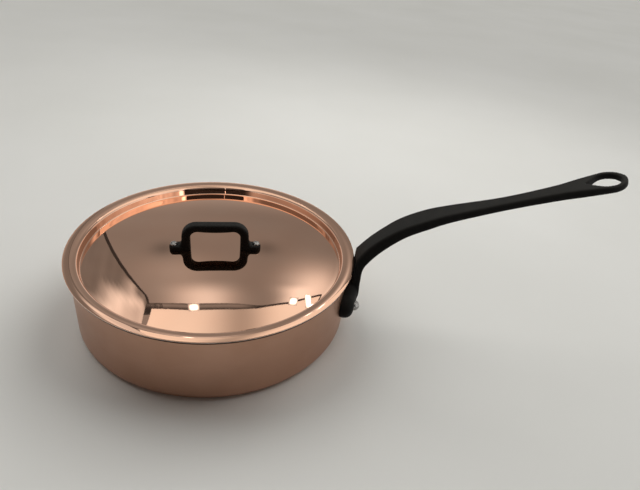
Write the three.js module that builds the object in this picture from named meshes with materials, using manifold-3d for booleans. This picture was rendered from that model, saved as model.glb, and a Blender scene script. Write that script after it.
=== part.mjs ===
// Copper saute pan, lined with steel, with a cast-iron handle and a sunken domed lid that lifts off.
// Millimetres. The origin is the centre of the base, +Z is up and +X runs out along the handle.
import * as THREE from "three";
import { mergeVertices } from "three/addons/utils/BufferGeometryUtils.js";
import Module from "manifold-3d";

// Pan
const panInnerDiameter = 240;
const panHeight = 64.5;
const panCopper = 1.7;
const panLining = 0.3;
const cornerRadius = 4.5;
const lipBendRadius = 3.2;
const lipFlat = 1.8;

// Lid
const lidCopper = 1.2;
const lidLining = 0.3;
const lidTurn = 12.5;
const plugClearance = 3.9;
const wellDepth = 9.1;
const wellDraft = 8;
const channelRadius = 1;
const domeRise = 4.9;
const flangeBendRadius = 2;
const flangeTilt = 15;
const crownRadius = 19;
const lidOverhang = 1.3;

// Long handle, which ends in a round eye
const handleReach = 207;
const handleRise = 109.6;
const endRadius = 14.6;
const endThickness = 5.4;
const endLean = 20;
const eyeRadius = 10.4;
const eyeLength = 26.7;
const tipTurn = 84;
const handleEdgeRadius = 1.3;
const edgeLimit = 0.9;

// Rows of the long handle, each with its lean in degrees, thickness and half width
// Neck and waist: [out from the wall, up from the lip, lean, thickness, half width]
const neckRows = [
  [5, -38, 90, 7, 12],
  [6.9, -27, 90, 9, 14.5],
  [7.4, -12, 86, 7.6, 15.4],
  [7, 1.8, 70, 8, 13.4],
  [11.5, 11, 56.4, 8.6, 11.2],
  [22.4, 24.6, 44.4, 9.2, 10.2],
  [40.2, 40.6, 33.5, 9.1, 11],
  [59.8, 52.2, 25.2, 8.5, 11],
  [79.3, 60.9, 20.5, 7.7, 9.3],
  [119, 75.3, 18.8, 6.6, 6.9],
];

// Grip: [back from the end, down from the end, lean, thickness, half width]
const gripRows = [
  [36.5, 14.8, 19, 7, 7.9],
  [17.5, 7.1, 19.5, 6.9, 11],
];

// Bracket lobes that carry the handle on the wall
const bracketThickness = 10.6;
const bracketEdgeRadius = 7.5;
const lobeRadius = 13.2;
const lobeShoulderTurn = 65;
const lobeFootTurn = -110;
const rivetSpread = 42;
const rivetDrop = 31;
const shoulderHeight = 23;
const shoulderHalfWidth = 10;
const shoulderBend = 5;
const webRise = 3;

// Rivets of the long handle
const rivetRadius = 3.3;
const rivetOuterHead = { radius: 4.6, height: 4.4 };
const rivetInnerHead = { radius: 6.5, height: 2.4 };

// Loop handle on the lid
const loopSpan = 59;
const loopHeight = 25.4;
const loopBar = 7;
const loopLeg = 7.4;
const loopDepth = 9;
const loopCornerRadius = 13;
const loopInnerRadius = 6.6;
const loopEdgeRadius = 2;
const loopBelly = 0.9;
const footSpan = 81;
const footWidth = 10.5;
const footThickness = 4.2;
const footEdgeRadius = 1.2;
const flareHeight = 6.8;
const lidRivetSpan = 73;
const lidRivetRadius = 2.4;
const lidRivetOuterHead = { radius: 3.2, height: 2 };
const lidRivetInnerHead = { radius: 4.6, height: 1.6 };

// Clearances
const bondGap = 0.05;
const seatGap = 0.25;
const castingGap = 0.2;
const rivetGap = 0.2;
const liftGap = 1.5;

// Facets
const turnSteps = 56;
const rivetSteps = 18;
const domeSteps = 4;
const bendSteps = 3;
const edgeSteps = 2;
const outlineSteps = 7;
const eyeSteps = 14;
const endSteps = 5;
const rowSteps = 2;

// Sizes that follow from those above
const rad = THREE.MathUtils.degToRad;
const quarter = Math.PI / 2;
const panSheet = panLining + bondGap + panCopper;
const panInnerRadius = panInnerDiameter / 2;
const wallRadius = panInnerRadius + panSheet;
const lipRadius = panInnerRadius + lipBendRadius + lipFlat;
const lidSheet = lidCopper + bondGap + lidLining;
const wellRadius = panInnerRadius - plugClearance - lidSheet;
const rivetHeight = panHeight - rivetDrop;
const rivetAngle = rivetSpread / 2 / wallRadius;
const facetSag = 1 - Math.cos(Math.PI / turnSteps);

// Flange of the lid: a bend out of the well, then a crowned rim that bears on the outer edge of the lip
const bendX = wellRadius + flangeBendRadius;
const crownX = bendX + (crownRadius - flangeBendRadius) * Math.sin(rad(flangeTilt));
const lidRadius = lipRadius + lidOverhang;
const flangeDrop = Math.asin((lidRadius - crownX) / crownRadius);
const bearingAngle = Math.asin((lipRadius - crownX) / (crownRadius - lidSheet));
const crownZ = panHeight + seatGap - (crownRadius - lidSheet) * Math.cos(bearingAngle);
const bendZ = crownZ + (crownRadius - flangeBendRadius) * Math.cos(rad(flangeTilt));
const lidTop = crownZ + crownRadius;

// Dome of the lid: a shallow cap that ends in a rounded channel at the foot of the slanted well wall
const channelBottom = lidTop - wellDepth;
const channelZ = channelBottom + channelRadius;
const wallLean = (bendZ - channelZ) * Math.sin(rad(wellDraft));
const domeHalf = bendX - (flangeBendRadius + channelRadius + wallLean) / Math.cos(rad(wellDraft));
const domeTop = channelBottom + domeRise;
const domeRadius = (domeHalf ** 2 + domeRise ** 2) / (2 * domeRise) - channelRadius;
const domeEdge = Math.asin(domeHalf / (domeRadius + channelRadius));
const domeCentreZ = domeTop - domeRadius;

const wasm = await Module();
wasm.setup();

// A closed geometry as a solid that can be joined and cut
function solidOf(geometry) {
  const bare = geometry.clone();
  bare.deleteAttribute("normal");
  bare.deleteAttribute("uv");
  const merged = mergeVertices(bare, 1e-4);
  const vertProperties = new Float32Array(merged.attributes.position.array);
  const triVerts = new Uint32Array(merged.index.array);
  return new wasm.Manifold(new wasm.Mesh({ numProp: 3, vertProperties, triVerts }));
}

function geometryOf(solid) {
  const mesh = solid.getMesh();
  const geometry = new THREE.BufferGeometry();
  geometry.setAttribute("position", new THREE.BufferAttribute(mesh.vertProperties, 3));
  geometry.setIndex(new THREE.BufferAttribute(mesh.triVerts, 1));
  geometry.computeVertexNormals();
  return geometry;
}

function cut(solid, tools) {
  return tools.reduce((rest, tool) => rest.subtract(tool), solid);
}

// Points of an arc in the profile plane, angles in radians from +X
function arcPoints(x, z, radius, from, to, steps) {
  const points = [];
  for (let i = 0; i <= steps; i++) {
    const angle = from + ((to - from) * i) / steps;
    points.push(new THREE.Vector2(x + radius * Math.cos(angle), z + radius * Math.sin(angle)));
  }
  return points;
}

function withoutRepeats(points) {
  return points.filter((p, i) => i === 0 || p.distanceTo(points[i - 1]) > 1e-6);
}

function revolve(points, steps) {
  return new THREE.LatheGeometry(withoutRepeats(points), steps).rotateX(quarter);
}

// Closed cylinder along +Z
function rodGeometry(radius, from, to, steps) {
  const corners = [
    [0, from],
    [radius, from],
    [radius, to],
    [0, to],
  ];
  return revolve(corners.map(([x, z]) => new THREE.Vector2(x, z)), steps);
}

// One layer of a drawn sheet, between two depths below the face that line gives
function sheetLayer(line, from, to) {
  return solidOf(revolve([...line(to), ...line(from).reverse()], turnSteps));
}

// Pan: the cooking face and what lies at a depth behind it
function panLine(depth) {
  const cornerX = panInnerRadius - cornerRadius;
  const cornerZ = panSheet + cornerRadius;
  const lipX = panInnerRadius + lipBendRadius;
  const lipZ = panHeight - lipBendRadius;
  return [
    new THREE.Vector2(0, panSheet - depth),
    ...arcPoints(cornerX, cornerZ, cornerRadius + depth, -quarter, 0, bendSteps),
    ...arcPoints(lipX, lipZ, lipBendRadius - depth, 2 * quarter, quarter, bendSteps),
    new THREE.Vector2(lipRadius, panHeight - depth),
  ];
}

// Lid: the upper face and what lies at a depth below it
function lidLine(depth) {
  const tilt = quarter + rad(flangeTilt);
  const draft = rad(wellDraft);
  return [
    ...arcPoints(0, domeCentreZ, domeRadius - depth, quarter, quarter - domeEdge, domeSteps),
    ...arcPoints(domeHalf, channelZ, channelRadius + depth, -quarter - domeEdge, -draft, bendSteps),
    ...arcPoints(bendX, bendZ, flangeBendRadius - depth, 2 * quarter - draft, tilt, edgeSteps),
    ...arcPoints(crownX, crownZ, crownRadius - depth, tilt, quarter - flangeDrop, bendSteps),
  ];
}

// Rivet along +Z: the first head lies below 0, the second above the length that is gripped
function rivetGeometry(radius, grip, lower, upper) {
  const dome = (head, base, way) =>
    arcPoints(0, 0, 1, 0, quarter, bendSteps).map(
      (p) => new THREE.Vector2(p.x * head.radius, base + way * p.y * head.height),
    );
  const profile = [
    ...dome(lower, 0, -1).reverse(),
    new THREE.Vector2(radius, 0),
    new THREE.Vector2(radius, grip),
    ...dome(upper, grip, 1),
  ];
  profile[0].x = 0;
  profile[profile.length - 1].x = 0;
  return revolve(profile, rivetSteps);
}

// Frame on the wall at an angle round the pan: X along the wall, Y up, Z outwards
function wallFrame(angle, height) {
  const along = new THREE.Vector3(-Math.sin(angle), Math.cos(angle), 0);
  const outward = new THREE.Vector3(Math.cos(angle), Math.sin(angle), 0);
  const frame = new THREE.Matrix4().makeBasis(along, new THREE.Vector3(0, 0, 1), outward);
  return frame.setPosition(0, 0, height);
}

// Inner rivet heads are flat below, so they bear on the round wall at their edge
const innerSeat = Math.sqrt((panInnerRadius * (1 - facetSag)) ** 2 - rivetInnerHead.radius ** 2) - rivetGap;
const outerSeat = wallRadius + bracketThickness + rivetGap;
const rivetFrames = [-rivetAngle, rivetAngle].map((angle) => wallFrame(angle, rivetHeight));
const rivetBores = rivetFrames.map((frame) => {
  const from = innerSeat - rivetInnerHead.height;
  const to = outerSeat + rivetOuterHead.height;
  return solidOf(rodGeometry(rivetRadius + rivetGap, from, to, rivetSteps).applyMatrix4(frame));
});

// Rows of the whole handle, measured as those of the neck, up to the middle of its round end
const endRun = endRadius * Math.cos(rad(endLean));
const endClimb = endRadius * Math.sin(rad(endLean));
const endOut = handleReach - endRun;
const endUp = handleRise - endClimb;
const handleRows = [
  ...neckRows,
  ...gripRows.map(([back, down, ...section]) => [endOut - back, endUp - down, ...section]),
  [endOut, endUp, endLean, endThickness, endRadius],
];

// Rounded-rectangle section of the handle, across it and square to its run
function handleSection([out, up, lean, thickness, half]) {
  const radius = Math.min(handleEdgeRadius, (edgeLimit * thickness) / 2, edgeLimit * half);
  const across = half - radius;
  const deep = thickness / 2 - radius;
  const corners = [
    [across, deep, 0],
    [-across, deep, quarter],
    [-across, -deep, 2 * quarter],
    [across, -deep, 3 * quarter],
  ];
  const angle = rad(lean);
  const loop = corners.flatMap(([y, n, from]) => arcPoints(y, n, radius, from, from + quarter, edgeSteps));
  return loop.map(
    (p) =>
      new THREE.Vector3(
        wallRadius + out - p.y * Math.sin(angle),
        p.x,
        panHeight + up + p.y * Math.cos(angle),
      ),
  );
}

// Skin through closed rings of equal count, with a flat cap at each end
function loft(rings) {
  const count = rings[0].length;
  const faces = [];
  for (let i = 0; i + 1 < rings.length; i++) {
    for (let j = 0; j < count; j++) {
      const a = i * count + j;
      const b = i * count + ((j + 1) % count);
      faces.push(a, b, a + count, b, b + count, a + count);
    }
  }
  const last = (rings.length - 1) * count;
  for (let j = 1; j + 1 < count; j++) {
    faces.push(0, j + 1, j, last, last + j, last + j + 1);
  }
  const geometry = new THREE.BufferGeometry().setFromPoints(rings.flat());
  return solidOf(geometry.setIndex(faces));
}

// The bar of the handle: a smooth run through its rows, then the round end, cut short at a narrow tip
function handleBar() {
  const columns = handleRows[0].map(
    (_, k) => new THREE.SplineCurve(handleRows.map((row, i) => new THREE.Vector2(i, row[k]))),
  );
  const rings = [];
  const steps = (handleRows.length - 1) * rowSteps;
  for (let i = 0; i <= steps; i++) {
    rings.push(handleSection(columns.map((column) => column.getPoint(i / steps).y)));
  }
  for (let i = 1; i <= endSteps; i++) {
    const angle = (i / endSteps) * rad(tipTurn);
    const share = Math.sin(angle);
    const half = endRadius * Math.cos(angle);
    const middle = [endOut + endRun * share, endUp + endClimb * share];
    rings.push(handleSection([...middle, endLean, endThickness, half]));
  }
  return loft(rings);
}

// Teardrop hanging eye, pointed towards the pan
function eyeTool() {
  const point = eyeLength - eyeRadius;
  const touch = Math.acos(eyeRadius / point);
  const shape = new THREE.Shape();
  shape.moveTo(-point, 0);
  shape.absarc(0, 0, eyeRadius, Math.PI + touch, Math.PI - touch, false);
  shape.closePath();
  const depth = 4 * endThickness;
  const tool = new THREE.ExtrudeGeometry(shape, { depth, bevelEnabled: false, curveSegments: eyeSteps });
  tool.translate(0, 0, -depth / 2);
  tool.rotateY(-rad(endLean));
  tool.translate(wallRadius + endOut, 0, panHeight + endUp);
  return solidOf(tool);
}

// One lobe of the bracket: a cushioned pad round its rivet, with a shoulder that runs up to the neck
function bracketLobe(side) {
  const middle = -rivetSpread / 2;
  const neck = middle - bracketEdgeRadius;
  const start = rad(lobeShoulderTurn);
  const end = rad(lobeFootTurn);
  const startX = lobeRadius * Math.cos(start);
  const startY = lobeRadius * Math.sin(start);
  const outline = new THREE.Shape();
  outline.moveTo(neck, shoulderHeight);
  outline.lineTo(middle + shoulderHalfWidth, shoulderHeight);
  outline.quadraticCurveTo(-shoulderBend, lobeRadius, startX, startY);
  outline.absarc(0, 0, lobeRadius, start, end, true);
  outline.lineTo(neck, lobeRadius * Math.sin(end) + webRise);
  const points = outline.getPoints(outlineSteps).map((p) => new THREE.Vector2(side * p.x, p.y));
  const pad = new THREE.ExtrudeGeometry(new THREE.Shape(withoutRepeats(points)), {
    depth: bracketThickness,
    bevelThickness: bracketEdgeRadius,
    bevelSize: bracketEdgeRadius,
    bevelOffset: -bracketEdgeRadius,
    bevelSegments: bendSteps,
  });
  pad.translate(0, 0, wallRadius - bracketEdgeRadius);
  return solidOf(pad.applyMatrix4(wallFrame(side * rivetAngle, rivetHeight)));
}

// The whole casting, fitted to the wall below and hollowed at the neck so that the lid lifts past it
function handle() {
  const casting = handleBar().add(bracketLobe(1)).add(bracketLobe(-1));
  const rim = panHeight - lipBendRadius;
  const wall = solidOf(rodGeometry(wallRadius + castingGap, 0, rim, turnSteps));
  const lift = solidOf(rodGeometry(lidRadius + liftGap, rim, panHeight + handleRise, turnSteps));
  return cut(casting, [wall, lift, eyeTool(), ...rivetBores]);
}

// The loop handle of the lid is cast a little too deep, then cut to the dome that it stands on
const domeDrop = domeRadius - Math.sqrt(domeRadius ** 2 - (footSpan / 2) ** 2);
const castingBase = domeTop - domeDrop - loopEdgeRadius;

// Arch of the loop, with rounded edges, which flares into its feet
function loopArch() {
  const half = loopSpan / 2;
  const top = domeTop + loopHeight;
  const inner = half - loopLeg;
  const innerTop = top - loopBar;
  const innerTurnX = inner - loopInnerRadius;
  const innerTurnZ = innerTop - loopInnerRadius;
  const turnX = half - loopCornerRadius;
  const turnZ = top - loopCornerRadius;
  const footTop = domeTop + footThickness;
  const flare = lidRivetSpan / 2 - lidRivetOuterHead.radius - rivetGap;
  const arch = new THREE.Shape();
  arch.moveTo(inner, castingBase);
  arch.lineTo(flare, castingBase);
  arch.lineTo(flare, footTop);
  arch.quadraticCurveTo(half, footTop, half, footTop + flareHeight);
  arch.absarc(turnX, turnZ, loopCornerRadius, 0, quarter, false);
  arch.absarc(-turnX, turnZ, loopCornerRadius, quarter, 2 * quarter, false);
  arch.lineTo(-half, footTop + flareHeight);
  arch.quadraticCurveTo(-half, footTop, -flare, footTop);
  arch.lineTo(-flare, castingBase);
  arch.lineTo(-inner, castingBase);
  arch.absarc(-innerTurnX, innerTurnZ, loopInnerRadius, 2 * quarter, quarter, true);
  arch.quadraticCurveTo(0, innerTop - 2 * loopBelly, innerTurnX, innerTop);
  arch.absarc(innerTurnX, innerTurnZ, loopInnerRadius, quarter, 0, true);
  const points = withoutRepeats(arch.getPoints(outlineSteps));
  const bar = new THREE.ExtrudeGeometry(new THREE.Shape(points), {
    depth: loopDepth - 2 * loopEdgeRadius,
    bevelThickness: loopEdgeRadius,
    bevelSize: loopEdgeRadius,
    bevelOffset: -loopEdgeRadius,
    bevelSegments: edgeSteps,
  });
  bar.translate(0, 0, loopEdgeRadius - loopDepth / 2);
  return solidOf(bar.rotateX(quarter));
}

// One foot of the loop: a flat pad with a round end that the rivet goes through
function loopFoot(side) {
  const width = footWidth / 2;
  const end = footSpan / 2 - width;
  const start = loopSpan / 2 - loopLeg;
  const outline = new THREE.Shape();
  outline.moveTo(start, -loopDepth / 2);
  outline.lineTo(end - width, -width);
  outline.absarc(end, 0, width, -quarter, quarter, false);
  outline.lineTo(end - width, width);
  outline.lineTo(start, loopDepth / 2);
  const points = outline.getPoints(outlineSteps).map((p) => new THREE.Vector2(side * p.x, p.y));
  const pad = new THREE.ExtrudeGeometry(new THREE.Shape(withoutRepeats(points)), {
    depth: domeTop + footThickness - castingBase - footEdgeRadius,
    bevelThickness: footEdgeRadius,
    bevelSize: footEdgeRadius,
    bevelOffset: -footEdgeRadius,
    bevelSegments: edgeSteps,
  });
  return solidOf(pad.translate(0, 0, castingBase));
}

function loopHandle() {
  const casting = loopArch().add(loopFoot(1)).add(loopFoot(-1));
  const dome = [
    new THREE.Vector2(0, 0),
    new THREE.Vector2(domeHalf, 0),
    ...arcPoints(0, domeCentreZ + castingGap, domeRadius, quarter - domeEdge, quarter, domeSteps),
  ];
  return cut(casting, [solidOf(revolve(dome, turnSteps)), ...lidBores]);
}

// Rivet heads under the lid are flat, so they bear on the dome at their outer edge
const lidRivetEdge = lidRivetSpan / 2 + lidRivetInnerHead.radius;
const lidRivetBase = domeCentreZ + Math.sqrt((domeRadius - lidSheet) ** 2 - lidRivetEdge ** 2) - rivetGap;
const lidRivetTop = domeTop + footThickness + rivetGap;
const lidBores = [-1, 1].map((side) => {
  const from = lidRivetBase - lidRivetInnerHead.height;
  const to = lidRivetTop + lidRivetOuterHead.height;
  const bore = rodGeometry(lidRivetRadius + rivetGap, from, to, rivetSteps);
  return solidOf(bore.translate((side * lidRivetSpan) / 2, 0, 0));
});

// Materials
const copper = new THREE.MeshStandardMaterial({ color: 0xc58a68, roughness: 0.2, metalness: 1 });
const steel = new THREE.MeshStandardMaterial({ color: 0xb9b9b6, roughness: 0.35, metalness: 1 });
const castIron = new THREE.MeshStandardMaterial({ color: 0x1d1c1b, roughness: 0.6, metalness: 0.3 });
const rivetSteel = new THREE.MeshStandardMaterial({ color: 0xcfcfcd, roughness: 0.25, metalness: 1 });

function piece(name, geometry, material) {
  const mesh = new THREE.Mesh(geometry, material.clone());
  mesh.name = name;
  return mesh;
}

// Pan body
const pan = new THREE.Group();
const panShell = cut(sheetLayer(panLine, panLining + bondGap, panSheet), rivetBores);
const panInside = cut(sheetLayer(panLine, 0, panLining), rivetBores);
pan.add(piece("pan_copper_shell", geometryOf(panShell), copper));
pan.add(piece("pan_steel_lining", geometryOf(panInside), steel));
pan.add(piece("handle", geometryOf(handle()), castIron));
rivetFrames.forEach((frame, i) => {
  const rivet = rivetGeometry(rivetRadius, outerSeat - innerSeat, rivetInnerHead, rivetOuterHead);
  rivet.translate(0, 0, innerSeat);
  pan.add(piece("handle_rivet_" + (i + 1), rivet.applyMatrix4(frame), rivetSteel));
});

// Lid, which rests on the lip at any turn
const lid = new THREE.Group();
lid.rotation.z = rad(lidTurn);
const lidShell = cut(sheetLayer(lidLine, 0, lidCopper), lidBores);
const lidInside = cut(sheetLayer(lidLine, lidCopper + bondGap, lidSheet), lidBores);
lid.add(piece("lid_copper_shell", geometryOf(lidShell), copper));
lid.add(piece("lid_steel_lining", geometryOf(lidInside), steel));
lid.add(piece("lid_handle", geometryOf(loopHandle()), castIron));
[-1, 1].forEach((side, i) => {
  const rivet = rivetGeometry(
    lidRivetRadius,
    lidRivetTop - lidRivetBase,
    lidRivetInnerHead,
    lidRivetOuterHead,
  );
  const mesh = piece("lid_rivet_" + (i + 1), rivet, rivetSteel);
  mesh.position.set((side * lidRivetSpan) / 2, 0, lidRivetBase);
  lid.add(mesh);
});

const sautePan = new THREE.Group();
sautePan.add(pan, lid);
export default sautePan;
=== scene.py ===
"""Copper saute pan with a cast-iron handle and a sunken lid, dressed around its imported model.

Metres, in the frame of the model: the origin is the centre of the base, +Z is up and +X runs out along
the handle.
"""
import math

import bmesh
import bpy
from mathutils import Matrix, Vector


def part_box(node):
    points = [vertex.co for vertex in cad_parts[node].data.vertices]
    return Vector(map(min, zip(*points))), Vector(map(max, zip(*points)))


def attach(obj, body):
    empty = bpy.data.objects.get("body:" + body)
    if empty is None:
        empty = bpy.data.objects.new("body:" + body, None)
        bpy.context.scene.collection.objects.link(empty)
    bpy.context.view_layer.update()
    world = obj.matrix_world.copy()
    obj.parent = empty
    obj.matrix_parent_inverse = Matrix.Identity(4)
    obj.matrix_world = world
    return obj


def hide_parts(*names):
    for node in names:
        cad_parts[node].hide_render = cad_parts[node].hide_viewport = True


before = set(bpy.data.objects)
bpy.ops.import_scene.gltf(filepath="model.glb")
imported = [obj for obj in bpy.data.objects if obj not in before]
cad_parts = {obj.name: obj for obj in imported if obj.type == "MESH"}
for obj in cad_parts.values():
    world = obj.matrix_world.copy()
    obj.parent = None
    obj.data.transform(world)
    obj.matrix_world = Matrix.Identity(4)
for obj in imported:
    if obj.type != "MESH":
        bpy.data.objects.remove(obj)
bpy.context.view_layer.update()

MM = 0.001
QUARTER = math.pi / 2
UP = Vector((0, 0, 1))

# Pan
LIP_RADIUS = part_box("pan_copper_shell")[1].x
PAN_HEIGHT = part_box("pan_steel_lining")[1].z
PAN_COPPER = 1.7 * MM
PAN_LINING = 0.3 * MM
CORNER_RADIUS = 4.5 * MM
LIP_BEND_RADIUS = 3.2 * MM
LIP_FLAT = 1.8 * MM

# Lid
LID_COPPER = 1.2 * MM
LID_LINING = 0.3 * MM
LID_TURN = math.radians(12.5)
PLUG_CLEARANCE = 3.9 * MM
WELL_DEPTH = 8.89 * MM
WELL_DRAFT = math.radians(8)
CHANNEL_RADIUS = 1 * MM
DOME_RISE = 4.9 * MM
FLANGE_BEND_RADIUS = 3.4 * MM
FLANGE_TILT = math.radians(15)
CROWN_RADIUS = 19 * MM
LID_OVERHANG = 1.3 * MM

# Long handle, which ends in a round eye
HANDLE_REACH = 207 * MM
HANDLE_RISE = 109.6 * MM
END_RADIUS = 14.6 * MM
END_THICKNESS = 5.4 * MM
END_LEAN = 20
EYE_RADIUS = 10.4 * MM
EYE_LENGTH = 26.7 * MM
TIP_TURN = math.radians(84)
HANDLE_EDGE_RADIUS = 1.3 * MM
EDGE_LIMIT = 0.9

# Rows of the neck and waist, in millimetres and degrees:
# out from the wall, up from the lip, lean, thickness, half width
NECK_ROWS = [
    (5, -38, 90, 7, 12),
    (6.9, -27, 90, 9, 14.5),
    (7.4, -12, 86, 7.6, 15.4),
    (7.6, 1.6, 70, 9.2, 13.4),
    (12.1, 10.6, 56.4, 10, 11.2),
    (22.8, 24.2, 44.4, 10.2, 10.2),
    (40.2, 40.6, 33.5, 9.1, 11),
    (59.8, 52.2, 25.2, 8.5, 11),
    (79.3, 60.9, 20.5, 7.7, 9.3),
    (119, 75.3, 18.8, 6.6, 6.9),
]

# Rows of the grip, in millimetres and degrees:
# back from the middle of the round end, down from it, lean, thickness, half width
GRIP_ROWS = [
    (36.5, 14.8, 19, 7, 7.9),
    (17.5, 7.1, 19.5, 6.9, 11),
]

# Bracket lobes that carry the handle on the wall
BRACKET_THICKNESS = 10.6 * MM
BRACKET_EDGE_RADIUS = 7.5 * MM
LOBE_RADIUS = 13.2 * MM
LOBE_SHOULDER_TURN = math.radians(65)
LOBE_FOOT_TURN = math.radians(-110)
RIVET_SPREAD = 42 * MM
RIVET_DROP = 31 * MM
SHOULDER_HEIGHT = 23 * MM
SHOULDER_HALF_WIDTH = 10 * MM
SHOULDER_BEND = 5 * MM
WEB_RISE = 3 * MM

# Rivets: the radius of the shank, then the radius and height of each head
RIVET_RADIUS = 3.3 * MM
RIVET_OUTER_HEAD = (4.6 * MM, 4.4 * MM)
RIVET_INNER_HEAD = (6.5 * MM, 2.4 * MM)
LID_RIVET_RADIUS = 2.4 * MM
LID_RIVET_OUTER_HEAD = (3.2 * MM, 2 * MM)
LID_RIVET_INNER_HEAD = (4.6 * MM, 1.6 * MM)

# Loop handle on the lid
LOOP_SPAN = 59 * MM
LOOP_HEIGHT = 25.4 * MM
LOOP_BAR = 7 * MM
LOOP_LEG = 7.4 * MM
LOOP_DEPTH = 9 * MM
LOOP_CORNER_RADIUS = 13 * MM
LOOP_INNER_RADIUS = 6.6 * MM
LOOP_EDGE_RADIUS = 2 * MM
LOOP_BELLY = 0.9 * MM
FOOT_SPAN = 81 * MM
FOOT_WIDTH = 10.5 * MM
FOOT_THICKNESS = 4.2 * MM
FOOT_EDGE_RADIUS = 2.1 * MM
FLARE_HEIGHT = 6.8 * MM
LID_RIVET_SPAN = 73 * MM

# Clearances
BOND_GAP = 0.05 * MM
SEAT_GAP = 0.25 * MM
CASTING_GAP = 0.2 * MM
RIVET_GAP = 0.2 * MM
LIFT_GAP = 1.5 * MM

# Fineness of the surfaces
TOUCH = 1e-7
TURN_STEPS = 192
RIVET_STEPS = 48
DOME_STEPS = 32
BEND_STEPS = 12
ROW_STEPS = 10
SECTION_STEPS = 6
END_STEPS = 16
OUTLINE_STEPS = 14
BELLY_STEPS = 4
PLATE_EDGE_STEPS = 4
SHEET_EDGE_STEPS = 3
SHEET_EDGE = 0.25 * MM
LINING_EDGE = 0.08 * MM
SHARP_ANGLE = math.radians(35)

# Castings: size of the cells that they are fused on, rounds of softening, and the skin put on after it
HANDLE_CASTING = (0.7 * MM, 6, 0.1 * MM)
LOOP_CASTING = (0.4 * MM, 8, 0.06 * MM)
SOFTENING = 0.5
WORN_GAIN = 6

# Spun metals: darker and lighter colour, lowest and highest roughness, strength of the lines, anisotropy
LID_FINISH = ((0.91, 0.56, 0.40), (0.93, 0.60, 0.44), (0.01, 0.03), 0.04, 0.1)
# The pan's copper is about half as bright as the lid's: a brushed finish with painted shade in its colour
SHADED_PAN_FINISH = ((0.50, 0.29, 0.20), (0.56, 0.335, 0.24), (0.34, 0.44), 0.05, 0.4)
LINING_FINISH = ((0.55, 0.54, 0.52), (0.66, 0.65, 0.63), (0.2, 0.36), 0.3, 0.6)
LINE_DEPTH = 0.01 * MM

# Painted shade on the lip's edge for the gap under the flange, and painted reflections beyond the loop's
# feet
PAINTED_SHADE_AND_REFLECTION = (0.05, 0.026, 0.017)
LIP_SHADE_REACH = 1.2 * MM
LIP_SHADE_FADE = 0.8 * MM
# Painted reflections of the loop's feet: how far beyond the feet, how wide and how dark
FOOT_REFLECTION_OUT = 5 * MM
FOOT_REFLECTION_REACH = 11 * MM
FOOT_REFLECTION_SHARE = 0.38

# Cast iron: darker and lighter colour of its clean skin and of its dust, then its worn edges
IRON_COLOURS = ((0.003, 0.0028, 0.0025), (0.007, 0.0065, 0.006))
DUST_COLOURS = ((0.016, 0.0155, 0.0145), (0.025, 0.024, 0.0225))
WORN_COLOUR = (0.022, 0.020, 0.018)
IRON_ROUGHNESS = (0.5, 0.64)
IRON_SHINE = 0.08
GRAIN_STRENGTH = 0.35
GRAIN_DEPTH = 0.12 * MM

# Steel of the rivets
RIVET_COLOURS = ((0.27, 0.265, 0.255), (0.45, 0.44, 0.43))
RIVET_ROUGHNESS = (0.18, 0.34)
DENT_STRENGTH = 0.6
DENT_DEPTH = 0.4 * MM

# Floor
FLOOR_HALF = 6
FLOOR_DROP = 0.2 * MM
FLOOR_COLOURS = ((0.78, 0.78, 0.755), (0.82, 0.82, 0.80))
FLOOR_ROUGHNESS = 0.85
FLOOR_SHINE = 0.2

# Patterns of the surfaces: repeats in a metre, then levels of detail
CLOUDS = (22, 4)
SMEARS = (60, 5)
RINGS = (900, 2)
LINES = (2600, 2)
GRAIN = (1400, 2)
LUMPS = (160, 4)
DENTS = (420, 2)
SCUFFS = (1500, 3)
FLOOR_PATCHES = (3, 3)

# Spans of values that are spread out to the whole: noise, noise times noise, and how far a face looks up
NOISE_SPAN = (0.3, 0.7)
SMEAR_SPAN = (0.1, 0.4)
DUST_SPAN = (0.2, 0.8)

# Camera: where it stands, its lens and sensor in millimetres, the nearest it sees, its pitch and its roll
CAMERA_PLACE = (0.0938, -0.3905, 0.3280)
CAMERA_LENS = 29.25
CAMERA_SENSOR = 36
CAMERA_NEAR = 0.01
CAMERA_PITCH = math.radians(32.57)
CAMERA_ROLL = math.radians(6.74)

# Lamps for the dull surfaces: two wide soft ones from behind and above, and one by the back wall
SKY_FROM = [(-0.55, 0.48, 0.72), (0.55, 0.48, 0.72)]
SKY_ANGLE = math.radians(55)
SKY_POWER = 1.29
BACK_LIGHT_PLACE = (0.2, 0.6, 0.62)
BACK_LIGHT_TARGET = (0.1, 0.1, 0)
BACK_LIGHT_SIZE = (0.8, 0.35)
BACK_LIGHT_POWER = 1.6
LIGHT_TINT = (1, 0.985, 0.95)

# Faint light from all round, and the brightness of the far wall that only the camera sees
WORLD_COLOUR = (0.05, 0.05, 0.048, 1)
FAR_LEVEL = 0.5

# Tent of white cloth for the reflections: the feet of its back corners, and its size
TENT_BACK_LEFT = Vector((-0.375, 0.467, 0))
TENT_BACK_RIGHT = Vector((0.500, 0.670, 0))
TENT_DEPTH = 0.95
TENT_HEIGHT = 0.72
TENT_STEPS = 48
ROOF_TINT = (1, 0.96, 0.89)
WALL_TINT = (1, 0.98, 0.95)

# Upper seam of the back wall, which sags: share of the way to the right, then height or width
BACK_SEAM = [(0, 0.665), (0.06, 0.692), (0.2, 0.718), (0.44, 0.725), (0.55, 0.690), (0.65, 0.630), (1, 0.6)]
SEAM_WIDTH = [(0, 0.03), (0.2, 0.04), (0.36, 0.036), (0.46, 0.012), (1, 0.012)]

# Left seam of the back wall: height, then share of the way to the right
LEFT_SEAM = [
    (0, 0),
    (0.38, 0),
    (0.44, 0.004),
    (0.5, 0.012),
    (0.56, 0.024),
    (0.62, 0.040),
    (0.68, 0.06),
    (1, 0.06),
]
LEFT_SEAM_WIDTH = 0.008

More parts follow.
